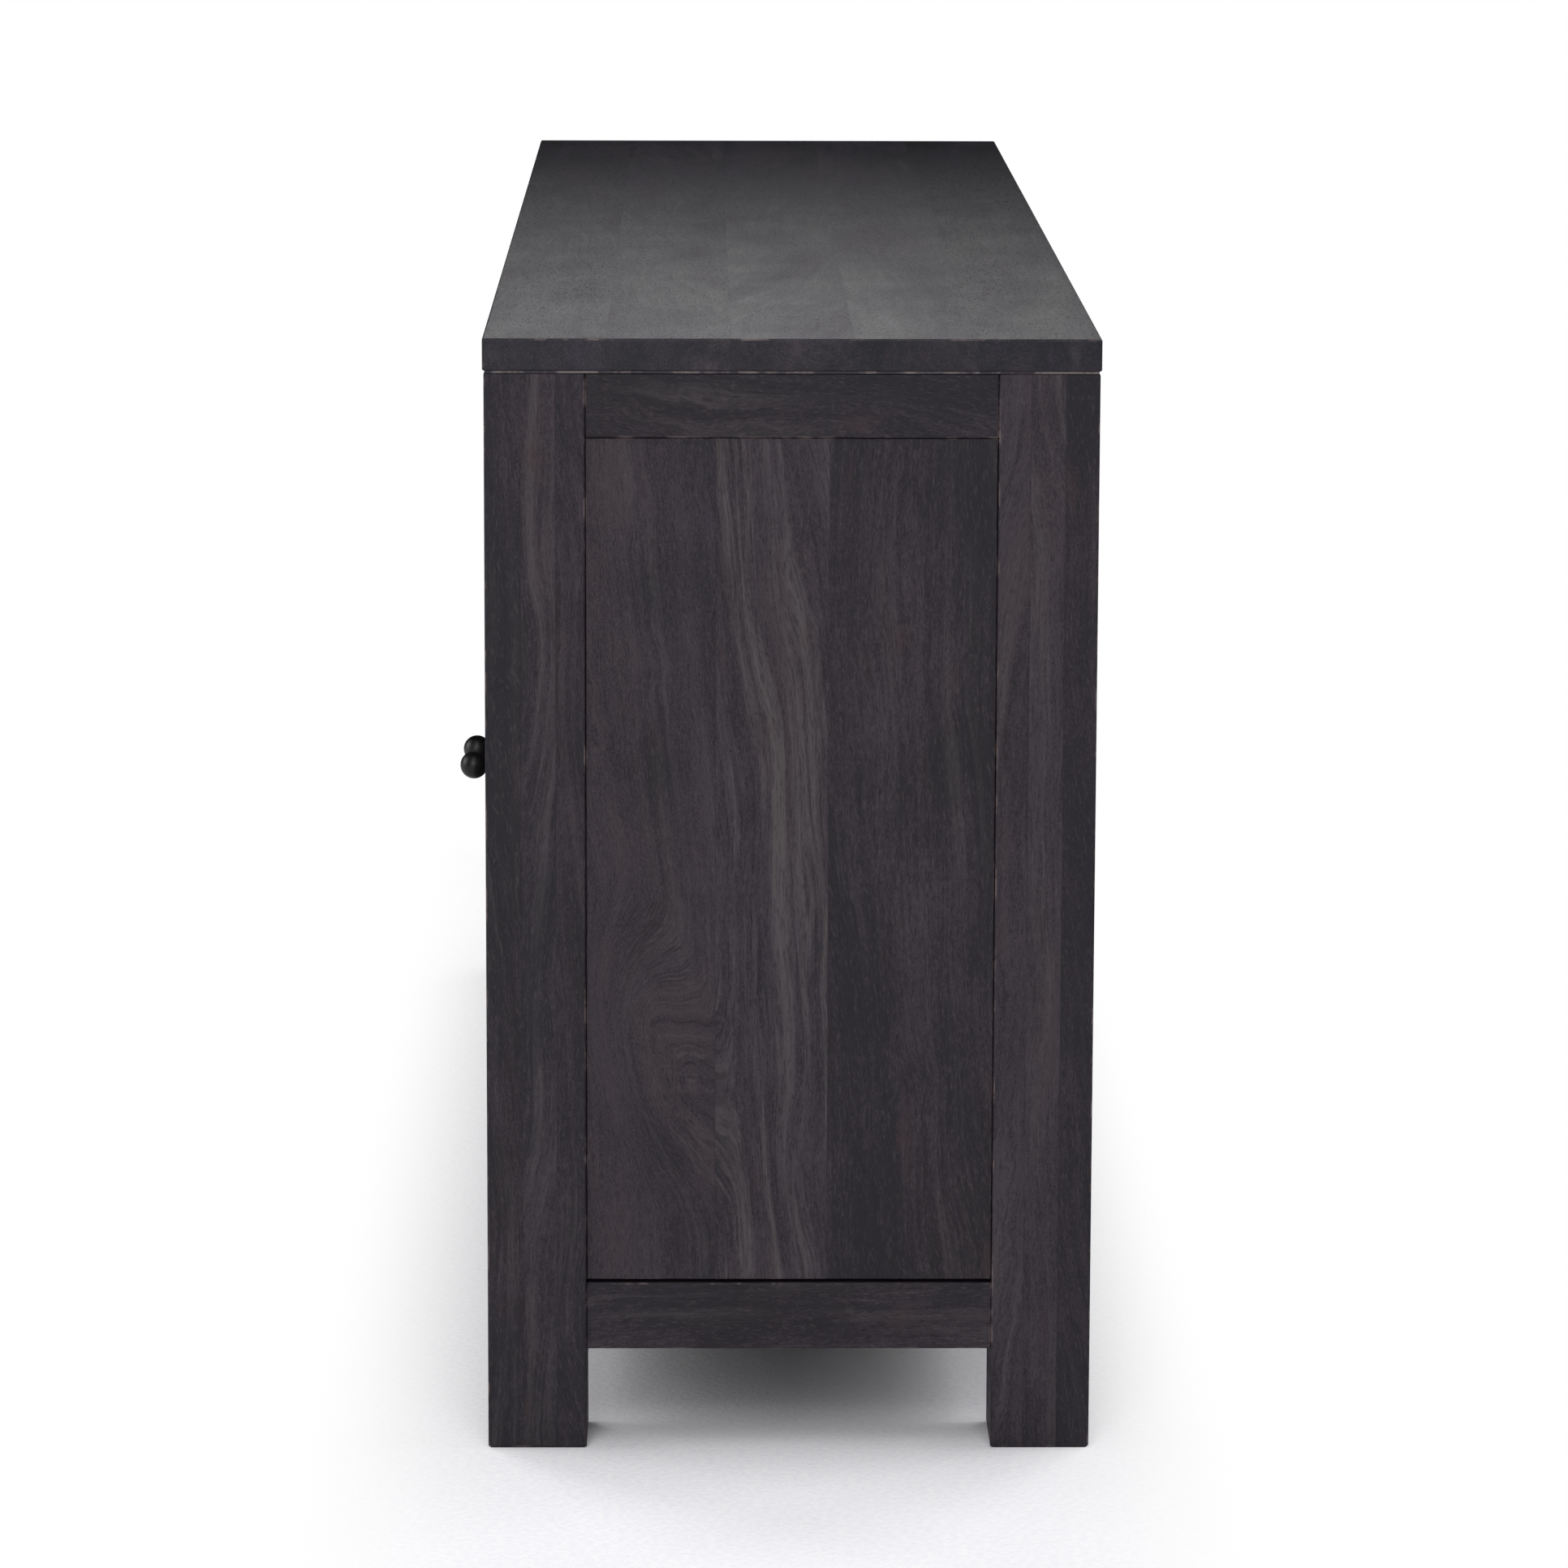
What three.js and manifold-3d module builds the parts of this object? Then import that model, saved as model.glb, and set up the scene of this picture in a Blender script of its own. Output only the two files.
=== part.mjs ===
// Long low dresser: corner posts, panelled ends, a pair of doors in each side bay, three drawers between.
// Millimetres. +X along the length, front faces -Y, +Z up, origin on the floor in the middle.
import * as THREE from 'three';
import { ConvexGeometry } from 'three/addons/geometries/ConvexGeometry.js';
import { mergeVertices } from 'three/addons/utils/BufferGeometryUtils.js';
import Module from 'manifold-3d';

const wasm = await Module();
wasm.setup();

// overall
const LENGTH = 1830;
const DEPTH = 460;
const HEIGHT = 850;

// top board and the narrow set-back strip under its edge
const TOP_THICK = 26;
const TOP_OVERHANG = 1;
const STRIP_HIGH = 2;
const STRIP_IN = 1.75;

// carcass frame
const POST = 75;
const FOOT_CLEAR = 78;
const BOTTOM_RAIL_HIGH = 51.5;
const TOP_RAIL_HIGH = 48;
const RAIL_THICK = 28;
const RAIL_SET = 1;
const EASE = 1;
const FOOT_EASE = 2;
const TENON_LONG = 20;
const TENON_THICK = 8;
const TENON_SHOULDER = 12;
const TENON_OUTER_SHOULDER = 6;

// end panels: a thick field with a thinner tongue round it that sits in grooves
const END_PANEL_THICK = 16;
const END_PANEL_SET = 3;
const TONGUE_THICK = 8;
const TONGUE_LONG = 8;
const FIELD_GAP = 0.5;
const FIELD_GAP_BOTTOM = 2.5;
const FIELD_EASE = 0.5;

// back, floor, partitions, shelves
const BACK_THICK = 8;
const BACK_SET = 10;
const FLOOR_THICK = 18;
const FLOOR_REBATE = 8;
const PARTITION = 25;
const CENTRE_BAY = 430;
const SHELF_THICK = 18;
const SHELF_Z = 440;
const SHELF_SET = 10;
const HOUSING = 6;

// doors
const DOOR_THICK = 22;
const DOOR_GAP = 2.5;
const MEETING_GAP = 3;
const STILE = 72;
const DOOR_PANEL_THICK = 10;
const DOOR_PANEL_SET = 6;
const DOOR_PANEL_IN = 8;
const PIVOT_R = 3;
const PIVOT_PLAY = 0.3;
const PIVOT_FROM_EDGE = 14;
const PIVOT_FROM_FACE = 7;
const PIVOT_IN_DOOR = 12;
const PIVOT_IN_RAIL = 8;

// knobs
const KNOB_R = 11;
const KNOB_REACH = 32;
const KNOB_NECK_R = 5;
const KNOB_FOOT_R = 8;
const KNOB_FOOT_LONG = 2;
const KNOB_Z = 470;

// drawers
const DRAWERS = 3;
const FRONT_THICK = 22;
const BOX_WALL = 14;
const BOX_SIDE_PLAY = 3;
const BOX_UP = 12;
const BOX_DOWN = 26;
const BOX_BACK_PLAY = 20;
const BASE_THICK = 6;
const BASE_UP = 8;
const BASE_IN = 5;
const RUNNER_THICK = 10;
const RUNNER_HIGH = 18;
const RUNNER_PLAY = 0.5;
const RUNNER_FRONT = 6;
const RUNNER_BACK = 10;

// how finely round pieces are faceted, and how far a cutter runs past what it cuts
const ROUND_SIDES = 32;
const BALL_STEPS = 11;
const CUT_PAST = 1;

// planes worked out from the sizes
const endX = LENGTH / 2;
const frameX = endX - TOP_OVERHANG;
const innerX = frameX - POST;
const backY = (DEPTH + KNOB_REACH - TOP_OVERHANG - RAIL_SET) / 2;
const frontY = backY - DEPTH;
const frameFrontY = frontY + TOP_OVERHANG;
const frameBackY = backY - TOP_OVERHANG;
const postBackY = frameFrontY + POST;
const rearPostY = frameBackY - POST;
const frameTop = HEIGHT - TOP_THICK;
const openLow = FOOT_CLEAR + BOTTOM_RAIL_HIGH;
const openHigh = frameTop - TOP_RAIL_HIGH;
const railOutX = frameX - RAIL_SET;
const railInX = railOutX - RAIL_THICK;
const faceY = frameFrontY + RAIL_SET;
const frontRailBackY = faceY + RAIL_THICK;
const backRailOutY = frameBackY - RAIL_SET;
const backRailInY = backRailOutY - RAIL_THICK;
const panelOutX = frameX - END_PANEL_SET;
const panelInX = panelOutX - END_PANEL_THICK;
const backPanelOutY = frameBackY - BACK_SET;
const backPanelInY = backPanelOutY - BACK_THICK;
const bayIn = CENTRE_BAY / 2;
const bayOut = bayIn + PARTITION;
const sideBay = innerX - bayOut;
const doorWide = (sideBay - 2 * DOOR_GAP - MEETING_GAP) / 2;
const doorLow = openLow + DOOR_GAP;
const doorHigh = openHigh - DOOR_GAP;
const doorBackY = faceY + DOOR_THICK;
const shelfFrontY = doorBackY + SHELF_SET;

// ---- solid helpers ----

// closed solid from any geometry, used for every boolean
function solidOf(geometry) {
  const bare = new THREE.BufferGeometry();
  bare.setAttribute('position', geometry.getAttribute('position'));
  if (geometry.index) bare.setIndex(geometry.index);
  const welded = mergeVertices(bare, 1e-5);
  const corners = Array.from(welded.index.array);
  const kept = [];
  for (let i = 0; i < corners.length; i += 3) {
    const [a, b, c] = corners.slice(i, i + 3);
    if (a !== b && b !== c && c !== a) kept.push(a, b, c);
  }
  const mesh = new wasm.Mesh({
    numProp: 3,
    vertProperties: new Float32Array(welded.getAttribute('position').array),
    triVerts: new Uint32Array(kept),
  });
  return new wasm.Manifold(mesh);
}

// box between two corners with every edge eased, the lowest edges by their own amount
function block(x, y, z, ease = 0, foot = ease) {
  const points = [];
  for (const [px, sx] of [[x[0], 1], [x[1], -1]]) {
    for (const [py, sy] of [[y[0], 1], [y[1], -1]]) {
      for (const [pz, sz] of [[z[0], 1], [z[1], -1]]) {
        const e = sz > 0 ? foot : ease;
        points.push(new THREE.Vector3(px + sx * e, py + sy * e, pz));
        points.push(new THREE.Vector3(px + sx * ease, py, pz + sz * e));
        points.push(new THREE.Vector3(px, py + sy * ease, pz + sz * e));
      }
    }
  }
  return solidOf(new ConvexGeometry(points));
}

function span(a, b) {
  return a < b ? [a, b] : [b, a];
}

function upright(radius, x, y, z) {
  const rod = new THREE.CylinderGeometry(radius, radius, z[1] - z[0], ROUND_SIDES);
  rod.rotateX(Math.PI / 2);
  rod.translate(x, y, (z[0] + z[1]) / 2);
  return solidOf(rod);
}

function cut(body, ...tools) {
  return tools.reduce((left, tool) => left.subtract(tool), body);
}

function join(body, ...more) {
  return more.reduce((all, next) => all.add(next), body);
}

const dresser = new THREE.Group();
dresser.name = 'dresser';

const FINISHES = {
  stained: { color: 0x39363c, roughness: 0.62, metalness: 0 },
  top: { color: 0x3a383e, roughness: 0.5, metalness: 0 },
  inner: { color: 0x3d3938, roughness: 0.72, metalness: 0 },
  drawer: { color: 0x7a5c40, roughness: 0.7, metalness: 0 },
  knob: { color: 0x0f0f10, roughness: 0.45, metalness: 0.6 },
  steel: { color: 0x8d8f92, roughness: 0.35, metalness: 1 },
};

function place(name, body, finish) {
  const found = body.getMesh();
  const shell = new THREE.BufferGeometry();
  shell.setAttribute('position', new THREE.BufferAttribute(new Float32Array(found.vertProperties), 3));
  shell.setIndex(new THREE.BufferAttribute(new Uint32Array(found.triVerts), 1));
  const flat = shell.toNonIndexed();
  flat.computeVertexNormals();
  const piece = new THREE.Mesh(flat, new THREE.MeshStandardMaterial(FINISHES[finish]));
  piece.name = name;
  dresser.add(piece);
}

const SIDES = [['left', -1], ['right', 1]];

// ---- shapes shared by the piece that fills them and the pieces cut for them ----

function endTongue(s) {
  const x = span(s * panelInX, s * (panelInX + TONGUE_THICK));
  const y = [postBackY - TONGUE_LONG, rearPostY + TONGUE_LONG];
  const z = [openLow - TONGUE_LONG, openHigh + TONGUE_LONG];
  return block(x, y, z);
}

function backBoard() {
  const x = [-innerX - TONGUE_LONG, innerX + TONGUE_LONG];
  const z = [openLow - TONGUE_LONG, openHigh + TONGUE_LONG];
  return block(x, [backPanelInY, backPanelOutY], z);
}

// tenons at both ends of a rail running along X (front and back) at one height
function longTenons(railY, z) {
  const middle = (railY[0] + railY[1]) / 2;
  const y = [middle - TENON_THICK / 2, middle + TENON_THICK / 2];
  return block([-innerX - TENON_LONG, innerX + TENON_LONG], y, z);
}

// tenons at both ends of a rail running along Y (the two ends) at one height
function endTenons(s, z) {
  const middle = s * (railOutX + railInX) / 2;
  const x = [middle - TENON_THICK / 2, middle + TENON_THICK / 2];
  return block(x, [postBackY - TENON_LONG, rearPostY + TENON_LONG], z);
}

const topRailZ = [openHigh, frameTop];
const bottomRailZ = [FOOT_CLEAR, openLow];
const topTenonZ = [openHigh + TENON_SHOULDER, frameTop - TENON_OUTER_SHOULDER];
const bottomTenonZ = [FOOT_CLEAR + TENON_OUTER_SHOULDER, openLow - TENON_SHOULDER];
const frontRailY = [faceY, frontRailBackY];
const backRailY = [backRailInY, backRailOutY];

const floorZ = [openLow - FLOOR_THICK, openLow];
const floorFrontY = frontRailBackY - FLOOR_REBATE;
const floorBackY = backRailInY + FLOOR_REBATE;
const floorEndX = railInX + FLOOR_REBATE;

function floorRoom() {
  return block([-floorEndX, floorEndX], [floorFrontY, floorBackY], floorZ);
}

const shelfZ = [SHELF_Z, SHELF_Z + SHELF_THICK];

// a shelf is let into the partition and into both posts by the same depth
function shelfHousing(s) {
  const x = span(s * (bayOut - HOUSING), s * (innerX + HOUSING));
  return block(x, [shelfFrontY, backPanelInY], shelfZ);
}

// one door: where it hangs, which way it runs from its hinge edge
const DOORS = [
  { name: 'door_left_outer', jamb: -innerX, run: 1 },
  { name: 'door_left_inner', jamb: -bayOut, run: -1 },
  { name: 'door_right_inner', jamb: bayOut, run: 1 },
  { name: 'door_right_outer', jamb: innerX, run: -1 },
];

function pivotAt(door) {
  return [door.jamb + door.run * (DOOR_GAP + PIVOT_FROM_EDGE), faceY + PIVOT_FROM_FACE];
}

const PIVOT_TOP_Z = [doorHigh - PIVOT_IN_DOOR, openHigh + PIVOT_IN_RAIL];
const PIVOT_LOW_Z = [openLow - PIVOT_IN_RAIL, doorLow + PIVOT_IN_DOOR];

function pivotHoles(z) {
  return DOORS.map((door) => upright(PIVOT_R + PIVOT_PLAY, ...pivotAt(door), z));
}

// ---- top ----

const slab = block([-endX, endX], [frontY, backY], [frameTop + STRIP_HIGH, HEIGHT], EASE);
const strip = block(
  [-endX + STRIP_IN, endX - STRIP_IN],
  [frontY + STRIP_IN, backY - STRIP_IN],
  [frameTop, frameTop + TOP_THICK / 2],
);
place('top_slab', join(slab, strip), 'top');

// ---- posts ----

for (const [sideName, s] of SIDES) {
  const x = span(s * innerX, s * frameX);
  const tenonCuts = [
    endTenons(s, topTenonZ),
    endTenons(s, bottomTenonZ),
    longTenons(frontRailY, topTenonZ),
    longTenons(frontRailY, bottomTenonZ),
    longTenons(backRailY, topTenonZ),
    longTenons(backRailY, bottomTenonZ),
  ];
  const sharedCuts = [endTongue(s), shelfHousing(s), ...tenonCuts];
  const front = block(x, [frameFrontY, postBackY], [0, frameTop], EASE, FOOT_EASE);
  const rear = block(x, [rearPostY, frameBackY], [0, frameTop], EASE, FOOT_EASE);
  place(`post_front_${sideName}`, cut(front, ...sharedCuts), 'stained');
  place(`post_back_${sideName}`, cut(rear, backBoard(), ...sharedCuts), 'stained');
}

// ---- rails ----

for (const [sideName, s] of SIDES) {
  const x = span(s * railInX, s * railOutX);
  const y = [postBackY, rearPostY];
  const upper = join(block(x, y, topRailZ, EASE), endTenons(s, topTenonZ));
  const lower = join(block(x, y, bottomRailZ, EASE), endTenons(s, bottomTenonZ));
  place(`end_rail_top_${sideName}`, cut(upper, endTongue(s)), 'stained');
  place(`end_rail_bottom_${sideName}`, cut(lower, endTongue(s), floorRoom()), 'stained');
}

const railX = [-innerX, innerX];
const topHoles = pivotHoles([openHigh - CUT_PAST, openHigh + PIVOT_IN_RAIL + PIVOT_PLAY]);
const lowHoles = pivotHoles([openLow - PIVOT_IN_RAIL - PIVOT_PLAY, openLow + CUT_PAST]);

const frontTop = join(block(railX, frontRailY, topRailZ, EASE), longTenons(frontRailY, topTenonZ));
place('front_rail_top', cut(frontTop, ...topHoles), 'stained');
const frontLow = join(block(railX, frontRailY, bottomRailZ, EASE), longTenons(frontRailY, bottomTenonZ));
place('front_rail_bottom', cut(frontLow, floorRoom(), ...lowHoles), 'stained');

const backTop = join(block(railX, backRailY, topRailZ, EASE), longTenons(backRailY, topTenonZ));
place('back_rail_top', cut(backTop, backBoard()), 'stained');
const backLow = join(block(railX, backRailY, bottomRailZ, EASE), longTenons(backRailY, bottomTenonZ));
place('back_rail_bottom', cut(backLow, backBoard(), floorRoom()), 'stained');

// ---- boards ----

for (const [sideName, s] of SIDES) {
  const field = block(
    span(s * panelInX, s * panelOutX),
    [postBackY + FIELD_GAP, rearPostY - FIELD_GAP],
    [openLow + FIELD_GAP_BOTTOM, openHigh - FIELD_GAP],
    FIELD_EASE,
  );
  place(`end_panel_${sideName}`, join(endTongue(s), field), 'stained');
}

place('back_panel', backBoard(), 'inner');

const postRooms = [];
for (const s of [-1, 1]) {
  const x = span(s * innerX, s * frameX);
  postRooms.push(block(x, [frameFrontY, postBackY], [0, frameTop]));
  postRooms.push(block(x, [rearPostY, frameBackY], [0, frameTop]));
}
place('floor_panel', cut(floorRoom(), ...postRooms), 'inner');

for (const [sideName, s] of SIDES) {
  const board = block(span(s * bayIn, s * bayOut), [faceY, backPanelInY], [openLow, frameTop], EASE);
  const frontRoom = block(railX, [faceY - CUT_PAST, frontRailBackY], [openHigh, frameTop + CUT_PAST]);
  const backRoom = block(railX, [backRailInY, backRailOutY], [openHigh, frameTop + CUT_PAST]);
  place(`partition_${sideName}`, cut(board, frontRoom, backRoom, shelfHousing(s)), 'inner');
}

for (const [sideName, s] of SIDES) {
  const board = block(span(s * (bayOut - HOUSING), s * panelInX), [shelfFrontY, backPanelInY], shelfZ);
  const beyond = span(s * (innerX + HOUSING), s * endX);
  const tall = [SHELF_Z - CUT_PAST, SHELF_Z + SHELF_THICK + CUT_PAST];
  const frontNotch = block(beyond, [frontY, postBackY], tall);
  const rearNotch = block(beyond, [rearPostY, backY], tall);
  place(`shelf_${sideName}`, cut(board, frontNotch, rearNotch), 'inner');
}

// ---- knobs ----

function knob(x, z) {
  const neckTop = KNOB_REACH - KNOB_R - Math.sqrt(KNOB_R ** 2 - KNOB_NECK_R ** 2);
  const profile = [
    new THREE.Vector2(0, 0),
    new THREE.Vector2(KNOB_FOOT_R, 0),
    new THREE.Vector2(KNOB_FOOT_R, KNOB_FOOT_LONG),
    new THREE.Vector2(KNOB_NECK_R, KNOB_FOOT_LONG + KNOB_FOOT_R - KNOB_NECK_R),
    new THREE.Vector2(KNOB_NECK_R, neckTop),
  ];
  const start = Math.PI - Math.asin(KNOB_NECK_R / KNOB_R);
  for (let i = 1; i <= BALL_STEPS; i += 1) {
    const angle = start * (1 - i / BALL_STEPS);
    const radius = i === BALL_STEPS ? 0 : KNOB_R * Math.sin(angle);
    profile.push(new THREE.Vector2(radius, KNOB_REACH - KNOB_R + KNOB_R * Math.cos(angle)));
  }
  const turned = new THREE.LatheGeometry(profile, ROUND_SIDES);
  turned.rotateX(Math.PI);
  turned.translate(x, faceY, z);
  return solidOf(turned);
}

// ---- doors ----

for (const door of DOORS) {
  const hingeEdge = door.jamb + door.run * DOOR_GAP;
  const freeEdge = hingeEdge + door.run * doorWide;
  const x = span(hingeEdge, freeEdge);
  const holeX = [x[0] + STILE, x[1] - STILE];
  const holeZ = [doorLow + STILE, doorHigh - STILE];
  const seatY = [faceY + DOOR_PANEL_SET, faceY + DOOR_PANEL_SET + DOOR_PANEL_THICK];
  const board = block(
    [holeX[0] - DOOR_PANEL_IN, holeX[1] + DOOR_PANEL_IN],
    seatY,
    [holeZ[0] - DOOR_PANEL_IN, holeZ[1] + DOOR_PANEL_IN],
  );
  const [px, py] = pivotAt(door);
  const topPin = upright(PIVOT_R, px, py, PIVOT_TOP_Z);
  const lowPin = upright(PIVOT_R, px, py, PIVOT_LOW_Z);
  const outer = block(x, [faceY, doorBackY], [doorLow, doorHigh], EASE);
  const window = block(holeX, [faceY - CUT_PAST, doorBackY + CUT_PAST], holeZ);
  place(`${door.name}_frame`, cut(outer, window, board, topPin, lowPin), 'stained');
  place(`${door.name}_panel`, board, 'stained');
  place(`${door.name}_knob`, knob(freeEdge - door.run * (STILE / 2), KNOB_Z), 'knob');
  place(`${door.name}_pivot_top`, topPin, 'steel');
  place(`${door.name}_pivot_bottom`, lowPin, 'steel');
}

// ---- drawers and their runners ----

const frontHigh = (openHigh - openLow - (DRAWERS + 1) * DOOR_GAP) / DRAWERS;
const boxX = bayIn - BOX_SIDE_PLAY;
const boxFrontY = faceY + FRONT_THICK;
const boxBackY = backPanelInY - BOX_BACK_PLAY;

for (let i = 0; i < DRAWERS; i += 1) {
  const name = `drawer_${i + 1}`;
  const high = openHigh - DOOR_GAP - i * (frontHigh + DOOR_GAP);
  const low = high - frontHigh;
  const boxZ = [low + BOX_UP, high - BOX_DOWN];
  const middle = (boxZ[0] + boxZ[1]) / 2;
  const runnerZ = [middle - RUNNER_HIGH / 2, middle + RUNNER_HIGH / 2];

  const front = block([-bayIn + DOOR_GAP, bayIn - DOOR_GAP], [faceY, boxFrontY], [low, high], EASE);
  place(`${name}_front`, front, 'stained');

  const shell = block([-boxX, boxX], [boxFrontY, boxBackY], boxZ);
  const inside = block(
    [-boxX + BOX_WALL, boxX - BOX_WALL],
    [boxFrontY + BOX_WALL, boxBackY - BOX_WALL],
    [boxZ[0] - CUT_PAST, boxZ[1] + CUT_PAST],
  );
  const base = block(
    [-boxX + BOX_WALL - BASE_IN, boxX - BOX_WALL + BASE_IN],
    [boxFrontY + BOX_WALL - BASE_IN, boxBackY - BOX_WALL + BASE_IN],
    [boxZ[0] + BASE_UP, boxZ[0] + BASE_UP + BASE_THICK],
  );
  const grooves = SIDES.map(([, s]) => block(
    span(s * (bayIn - RUNNER_THICK - RUNNER_PLAY), s * bayIn),
    [boxFrontY - CUT_PAST, boxBackY + CUT_PAST],
    [runnerZ[0] - RUNNER_PLAY, runnerZ[1] + RUNNER_PLAY],
  ));
  place(`${name}_box`, cut(shell, inside, base, ...grooves), 'drawer');
  place(`${name}_base`, base, 'drawer');
  place(`${name}_knob`, knob(0, (low + high) / 2), 'knob');

  for (const [sideName, s] of SIDES) {
    const runner = block(
      span(s * bayIn, s * (bayIn - RUNNER_THICK)),
      [boxFrontY + RUNNER_FRONT, backPanelInY - RUNNER_BACK],
      runnerZ,
    );
    place(`runner_${i + 1}_${sideName}`, runner, 'drawer');
  }
}

export default dresser;
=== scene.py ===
"""Looks for the long low dresser: charcoal-stained hardwood, black ball knobs, pale studio floor."""
import math

import bmesh
import bpy
from mathutils import Matrix, Vector


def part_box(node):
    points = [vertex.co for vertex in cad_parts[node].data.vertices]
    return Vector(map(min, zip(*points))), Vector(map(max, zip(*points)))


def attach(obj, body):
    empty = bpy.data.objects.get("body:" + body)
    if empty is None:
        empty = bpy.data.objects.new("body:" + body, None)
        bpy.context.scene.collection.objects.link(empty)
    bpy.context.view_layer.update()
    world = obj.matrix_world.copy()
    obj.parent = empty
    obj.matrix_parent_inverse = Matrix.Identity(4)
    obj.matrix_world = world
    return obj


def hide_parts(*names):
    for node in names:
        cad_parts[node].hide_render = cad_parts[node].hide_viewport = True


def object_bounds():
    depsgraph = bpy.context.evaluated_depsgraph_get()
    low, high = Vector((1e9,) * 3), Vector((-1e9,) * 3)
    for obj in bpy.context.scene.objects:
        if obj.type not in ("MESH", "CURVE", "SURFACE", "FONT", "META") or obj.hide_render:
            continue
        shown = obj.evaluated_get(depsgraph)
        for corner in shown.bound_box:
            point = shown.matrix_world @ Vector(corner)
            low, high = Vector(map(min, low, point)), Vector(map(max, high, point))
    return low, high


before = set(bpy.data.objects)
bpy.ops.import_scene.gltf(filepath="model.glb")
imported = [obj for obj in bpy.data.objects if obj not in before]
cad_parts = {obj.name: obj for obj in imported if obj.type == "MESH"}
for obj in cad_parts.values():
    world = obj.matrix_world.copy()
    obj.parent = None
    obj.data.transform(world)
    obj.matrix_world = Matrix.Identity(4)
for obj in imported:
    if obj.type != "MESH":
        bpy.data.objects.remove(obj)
CAD_LOW, CAD_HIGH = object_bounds()
MM = 0.001

X = Vector((1, 0, 0))
Y = Vector((0, 1, 0))
Z = Vector((0, 0, 1))
ORIGIN = Vector((0, 0, 0))


# ---------------------------------------------------------------- node helpers

def new_node(tree, kind, **settings):
    node = tree.nodes.new("ShaderNode" + kind)
    for key, value in settings.items():
        setattr(node, key, value)
    return node


def feed(tree, socket, value):
    """Gives a socket either a link or a plain number, colour or vector."""
    if isinstance(value, bpy.types.NodeSocket):
        tree.links.new(value, socket)
    else:
        socket.default_value = value


def math_node(tree, operation, first, second=0.0, third=0.0):
    node = new_node(tree, "Math", operation=operation)
    for socket, value in zip(node.inputs, (first, second, third)):
        feed(tree, socket, value)
    return node.outputs[0]


def ramp_between(tree, value, low, high):
    """0 below low, 1 above high, and a smooth step between."""
    node = new_node(tree, "MapRange", interpolation_type="SMOOTHSTEP")
    feed(tree, node.inputs["Value"], value)
    node.inputs["From Min"].default_value = low
    node.inputs["From Max"].default_value = high
    return node.outputs["Result"]


def rest_of(tree, value):
    """What is left of 1."""
    return math_node(tree, "SUBTRACT", 1.0, value)


def clamped(tree, value, high):
    """A whole number held between 0 and high."""
    return math_node(tree, "MINIMUM", math_node(tree, "MAXIMUM", value, 0.0), high)


def noise(tree, point, stretch, detail=2.0, rough=0.5, warp=0.0, shift=(0, 0, 0)):
    """Noise with its own number of cells to the metre along each axis."""
    placed = new_node(tree, "Mapping")
    placed.inputs["Scale"].default_value = stretch
    placed.inputs["Location"].default_value = shift
    feed(tree, placed.inputs["Vector"], point)
    node = new_node(tree, "TexNoise")
    tree.links.new(placed.outputs[0], node.inputs["Vector"])
    node.inputs["Scale"].default_value = 1.0
    node.inputs["Detail"].default_value = detail
    node.inputs["Roughness"].default_value = rough
    node.inputs["Distortion"].default_value = warp
    return node.outputs["Fac"]


def mix_colours(tree, factor, first, second, blend="MIX"):
    node = new_node(tree, "Mix", data_type="RGBA", blend_type=blend)
    feed(tree, node.inputs["Factor"], factor)
    feed(tree, node.inputs[6], first)
    feed(tree, node.inputs[7], second)
    return node.outputs[2]


def colour(red, green, blue):
    """Linear colour from the 0 to 255 values of a paint chart."""
    def linear(c):
        c /= 255
        return c / 12.92 if c <= 0.04045 else ((c + 0.055) / 1.055) ** 2.4
    return (linear(red), linear(green), linear(blue), 1.0)


def group_socket(tree, name, kind, way, default=None):
    socket = tree.interface.new_socket(name=name, in_out=way, socket_type="NodeSocket" + kind)
    if default is not None:
        socket.default_value = default
    return socket


# ---------------------------------------------------------------- the grain of one board

def centred(tree, value, height):
    """Turns a 0 to 1 noise into one that swings about nothing."""
    return math_node(tree, "MULTIPLY", math_node(tree, "SUBTRACT", value, 0.5), height)


def total(tree, *values):
    whole = values[0]
    for value in values[1:]:
        whole = math_node(tree, "ADD", whole, value)
    return whole


def product(tree, first, second):
    return math_node(tree, "MULTIPLY", first, second)


def vector_of(tree, first, second, third):
    node = new_node(tree, "CombineXYZ")
    for socket, value in zip(node.inputs, (first, second, third)):
        feed(tree, socket, value)
    return node.outputs[0]


def vector_node(tree, operation, first, second=(0, 0, 0)):
    node = new_node(tree, "VectorMath", operation=operation)
    feed(tree, node.inputs[0], first)
    feed(tree, node.inputs[1], second)
    return node.outputs["Value" if operation in ("LENGTH", "DOT_PRODUCT") else "Vector"]


def split(tree, vector):
    node = new_node(tree, "SeparateXYZ")
    feed(tree, node.inputs[0], vector)
    return node.outputs[0], node.outputs[1], node.outputs[2]


def stave_of(tree, across, source):
    """Which glued-up stave a point is in, and how near its glue line is."""
    steps = math_node(tree, "DIVIDE", math_node(tree, "SUBTRACT", across, source.outputs["First Joint"]),
                      source.outputs["Stave"])
    raw = math_node(tree, "ADD", math_node(tree, "FLOOR", steps), 1.0)
    index = clamped(tree, raw, source.outputs["Joints"])
    last = math_node(tree, "SUBTRACT", source.outputs["Joints"], 1.0)
    nearest = clamped(tree, math_node(tree, "ROUND", steps), last)
    off = math_node(tree, "ABSOLUTE", math_node(tree, "SUBTRACT", steps, nearest))
    distance = product(tree, off, source.outputs["Stave"])
    return index, rest_of(tree, ramp_between(tree, distance, 0.1 * MM, 0.8 * MM))


KNOT_LEAN = 0.22    # how far the knot's oval leans
KNOT_SQUASH = 0.42    # how much less the grain's own direction counts
KNOT_BEND = 0.5    # 1 would turn the grain into closed rings


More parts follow.
